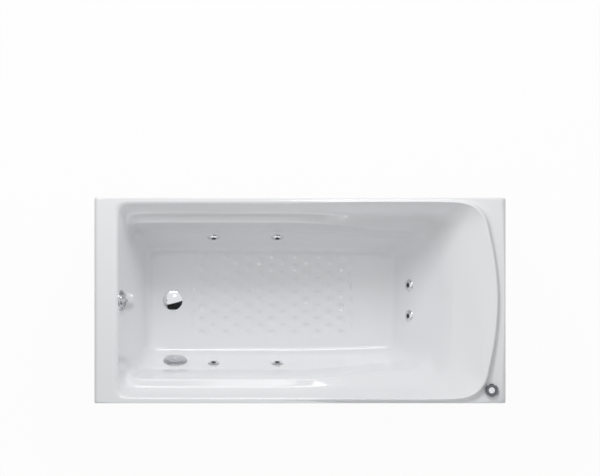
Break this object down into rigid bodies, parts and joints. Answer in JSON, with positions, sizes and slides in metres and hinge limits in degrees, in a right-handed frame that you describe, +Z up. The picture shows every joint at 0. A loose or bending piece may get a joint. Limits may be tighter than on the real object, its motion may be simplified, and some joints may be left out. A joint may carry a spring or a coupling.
{
  "type": "jetted bathtub",
  "caption": "Rectangular acrylic jetted bath with armrests, raised head lip, wall jets, pump, ring main, waste with overflow control and steel cradle on levelling feet.",
  "frame": {"origin": "on the floor under the middle of the bath", "axes": "+X to the head end with the backrest, +Y to the long side away from the deck control, +Z up"},
  "size_m": [1.5, 0.75, 0.59],
  "materials": {
    "acrylic": "polished white acrylic",
    "resin": "cast resin",
    "plywood": "sawn, sealed",
    "frame_steel": "grey powder coat",
    "zinc_steel": "zinc plated",
    "rubber_black": "moulded",
    "pvc_white": "extruded",
    "waste_plastic": "moulded",
    "nut_plastic": "moulded, fine grain",
    "chrome_plate": "polished",
    "dark_chrome": "polished, smoked",
    "nozzle_plastic": "moulded",
    "pump_plastic": "glass-filled, fine grain",
    "motor_aluminium": "die cast",
    "stator_iron": "laminated and wound",
    "rotor_steel": "turned",
    "cable_black": "sheathed",
    "hose_vinyl": "flexible"
  },
  "bodies": {
    "tub": {"tub_shell": "acrylic", "board_bedding": "resin", "base_board": "plywood", "support_timbers": "plywood", "long_rails": "frame_steel", "cross_rails": "frame_steel", "uprights": "frame_steel", "frame_screws": "zinc_steel", "foot_nuts": "zinc_steel", "wall_seals": "rubber_black", "back_nuts": "nut_plastic", "jet_bodies": "pvc_white", "jet_rings": "chrome_plate", "suction_body": "nut_plastic", "suction_cover": "chrome_plate", "suction_screw": "chrome_plate", "drain_flange": "chrome_plate", "drain_body": "waste_plastic", "trap": "waste_plastic", "overflow_body": "waste_plastic", "overflow_plate": "chrome_plate", "overflow_pipe": "waste_plastic", "bowden_cable": "cable_black", "regulator_body": "chrome_plate", "pneumatic_hose": "hose_vinyl", "water_pipes": "pvc_white", "water_fittings": "pvc_white", "air_pipes": "pvc_white", "air_fittings": "pvc_white", "pump_unions": "nut_plastic", "pump_volute": "pump_plastic", "pump_seal_plate": "pump_plastic", "pump_motor": "motor_aluminium", "motor_stator": "stator_iron", "motor_bearings": "rotor_steel", "shaft_seal": "rubber_black", "fan_cowl": "pump_plastic", "terminal_box": "pump_plastic", "rubber_mounts": "rubber_black", "pump_plate": "frame_steel", "pump_screws": "zinc_steel"},
    "foot_1": {"levelling_foot_1": "zinc_steel"},
    "nozzle_1": {"jet_nozzle_1": "nozzle_plastic"},
    "foot_2": {"levelling_foot_2": "zinc_steel"},
    "nozzle_2": {"jet_nozzle_2": "nozzle_plastic"},
    "foot_3": {"levelling_foot_3": "zinc_steel"},
    "nozzle_3": {"jet_nozzle_3": "nozzle_plastic"},
    "foot_4": {"levelling_foot_4": "zinc_steel"},
    "nozzle_4": {"jet_nozzle_4": "nozzle_plastic"},
    "foot_5": {"levelling_foot_5": "zinc_steel"},
    "nozzle_5": {"jet_nozzle_5": "nozzle_plastic"},
    "foot_6": {"levelling_foot_6": "zinc_steel"},
    "nozzle_6": {"jet_nozzle_6": "nozzle_plastic"},
    "rotor": {"pump_rotor": "rotor_steel"},
    "overflow_control": {"overflow_knob": "chrome_plate"},
    "plug": {"drain_plug": "chrome_plate"},
    "air_regulator": {"regulator_knob": "dark_chrome"},
    "button": {"push_button": "chrome_plate"}
  },
  "joints": [
    {"name": "nozzle_1_turn", "type": "hinge", "parent": "tub", "child": "nozzle_1", "pos_m": [-0.315, 0.23, 0.25482], "axis": [-0.0017, -0.9103, 0.4139], "continuous": true},
    {"name": "nozzle_2_turn", "type": "hinge", "parent": "tub", "child": "nozzle_2", "pos_m": [-0.083, 0.23, 0.2558], "axis": [-0.0025, -0.9085, 0.418], "continuous": true},
    {"name": "nozzle_3_turn", "type": "hinge", "parent": "tub", "child": "nozzle_3", "pos_m": [-0.315, -0.23, 0.25482], "axis": [-0.0017, 0.9103, 0.4139], "continuous": true},
    {"name": "nozzle_4_turn", "type": "hinge", "parent": "tub", "child": "nozzle_4", "pos_m": [-0.083, -0.23, 0.2558], "axis": [-0.0025, 0.9085, 0.418], "continuous": true},
    {"name": "nozzle_5_turn", "type": "hinge", "parent": "tub", "child": "nozzle_5", "pos_m": [0.398, 0.056, 0.24854], "axis": [-0.8052, -0.0046, 0.5929], "continuous": true},
    {"name": "nozzle_6_turn", "type": "hinge", "parent": "tub", "child": "nozzle_6", "pos_m": [0.398, -0.056, 0.24854], "axis": [-0.8052, 0.0046, 0.5929], "continuous": true},
    {"name": "foot_1_height", "type": "slide", "parent": "tub", "child": "foot_1", "axis": [0, 0, -1], "range_m": [0, 0.03]},
    {"name": "foot_2_height", "type": "slide", "parent": "tub", "child": "foot_2", "axis": [0, 0, -1], "range_m": [0, 0.03]},
    {"name": "foot_3_height", "type": "slide", "parent": "tub", "child": "foot_3", "axis": [0, 0, -1], "range_m": [0, 0.03]},
    {"name": "foot_4_height", "type": "slide", "parent": "tub", "child": "foot_4", "axis": [0, 0, -1], "range_m": [0, 0.03]},
    {"name": "foot_5_height", "type": "slide", "parent": "tub", "child": "foot_5", "axis": [0, 0, -1], "range_m": [0, 0.03]},
    {"name": "foot_6_height", "type": "slide", "parent": "tub", "child": "foot_6", "axis": [0, 0, -1], "range_m": [0, 0.03]},
    {"name": "overflow_knob_turn", "type": "hinge", "parent": "tub", "child": "overflow_control", "pos_m": [-0.653, 0, 0.51499], "axis": [0.9648, 0, 0.2631], "range_deg": [0, 90]},
    {"name": "plug_lift", "type": "slide", "parent": "tub", "child": "plug", "axis": [0, 0, 1], "range_m": [0, 0.01]},
    {"name": "air_regulator_turn", "type": "hinge", "parent": "tub", "child": "air_regulator", "pos_m": [0.7, -0.328, 0.57], "axis": [0, 0, 1], "range_deg": [0, 120]},
    {"name": "button_press", "type": "slide", "parent": "tub", "child": "button", "axis": [0, 0, -1], "range_m": [0, 0.004], "stiffness_N_per_m": 600, "springref_m": -0.002},
    {"name": "rotor_spin", "type": "hinge", "parent": "tub", "child": "rotor", "pos_m": [0.56, 0, 0.20948], "axis": [0, -1, 0], "continuous": true}
  ],
  "couplings": [
    {"joint": "plug_lift", "follows": "overflow_knob_turn", "m_per_rad": 0.00636}
  ]
}
